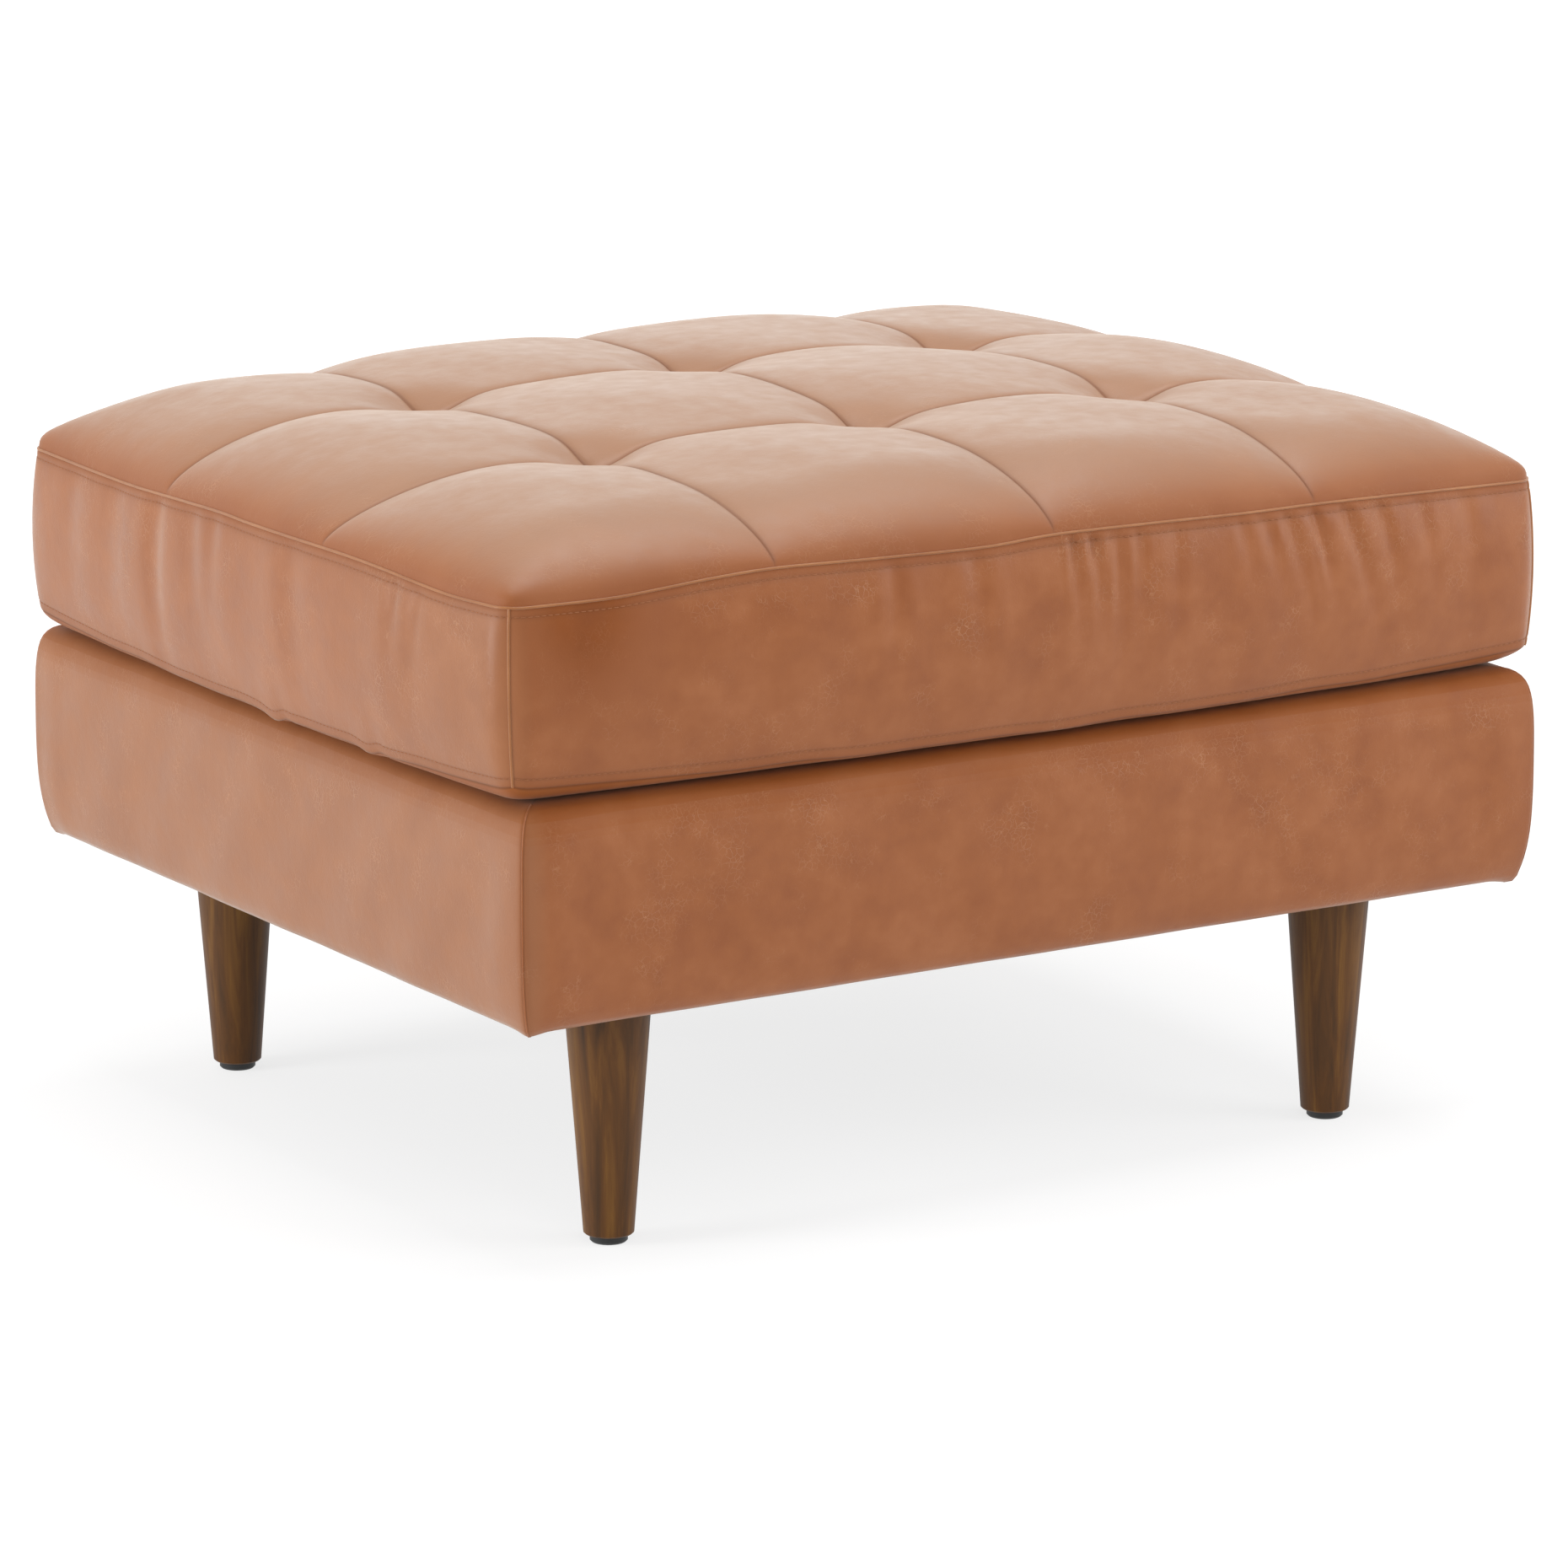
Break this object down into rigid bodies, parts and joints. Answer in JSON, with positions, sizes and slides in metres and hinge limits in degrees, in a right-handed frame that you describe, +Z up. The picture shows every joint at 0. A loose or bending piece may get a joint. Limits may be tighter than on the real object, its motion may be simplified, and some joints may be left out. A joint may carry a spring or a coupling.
{
  "type": "ottoman coffee table",
  "caption": "Low rectangular upholstered ottoman used as a coffee table: loose blind-tufted leather box cushion on a padded leather base with turned, tapered wooden legs.",
  "frame": {"origin": "on the floor, under the middle of the ottoman", "axes": "+X along the long side, -Y towards the front, +Z up"},
  "size_m": [0.781, 0.65, 0.4795],
  "materials": {
    "leather": "semi-aniline tan leather, satin, mottled",
    "foam": "open-cell upholstery foam",
    "wadding": "bonded polyester fibre",
    "black_cloth": "non-woven black cloth",
    "twine": "waxed tufting twine",
    "washer": "moulded nylon",
    "frame_wood": "sawn, unfinished",
    "walnut": "turned, satin lacquer over walnut",
    "glide": "moulded black nylon",
    "spring_steel": "drawn spring wire",
    "zinc_steel": "zinc-plated"
  },
  "bodies": {
    "base": {"base_cover_front": "leather", "base_cover_back": "leather", "base_cover_left": "leather", "base_cover_right": "leather", "deck_pad": "foam", "base_pad_front": "wadding", "base_pad_back": "wadding", "base_pad_left": "wadding", "base_pad_right": "wadding", "deck_cloth": "black_cloth", "dust_cover": "black_cloth", "rail_front": "frame_wood", "rail_back": "frame_wood", "rail_left": "frame_wood", "rail_right": "frame_wood", "centre_stretcher": "frame_wood", "leg_block_front_left": "frame_wood", "leg_block_front_right": "frame_wood", "leg_block_back_left": "frame_wood", "leg_block_back_right": "frame_wood", "leg_front_left": "walnut", "leg_front_right": "walnut", "leg_back_left": "walnut", "leg_back_right": "walnut", "glide_front_left": "glide", "glide_front_right": "glide", "glide_back_left": "glide", "glide_back_right": "glide", "spring_1": "spring_steel", "spring_2": "spring_steel", "spring_3": "spring_steel", "spring_4": "spring_steel", "spring_5": "spring_steel", "spring_clips": "zinc_steel", "frame_screws": "zinc_steel", "hanger_bolts": "zinc_steel", "t_nuts": "zinc_steel"},
    "cushion": {"cushion_top_panel": "leather", "cushion_bottom_panel": "leather", "cushion_boxing_front": "leather", "cushion_boxing_back": "leather", "cushion_boxing_left": "leather", "cushion_boxing_right": "leather", "cushion_foam_core": "foam", "cushion_topper": "wadding", "cushion_wadding": "wadding", "tuft_twines": "twine", "tuft_washers": "washer"}
  },
  "joints": [
    {"name": "cushion_lift", "type": "slide", "parent": "base", "child": "cushion", "axis": [0, 0, 1], "range_m": [0, 0.25]}
  ]
}
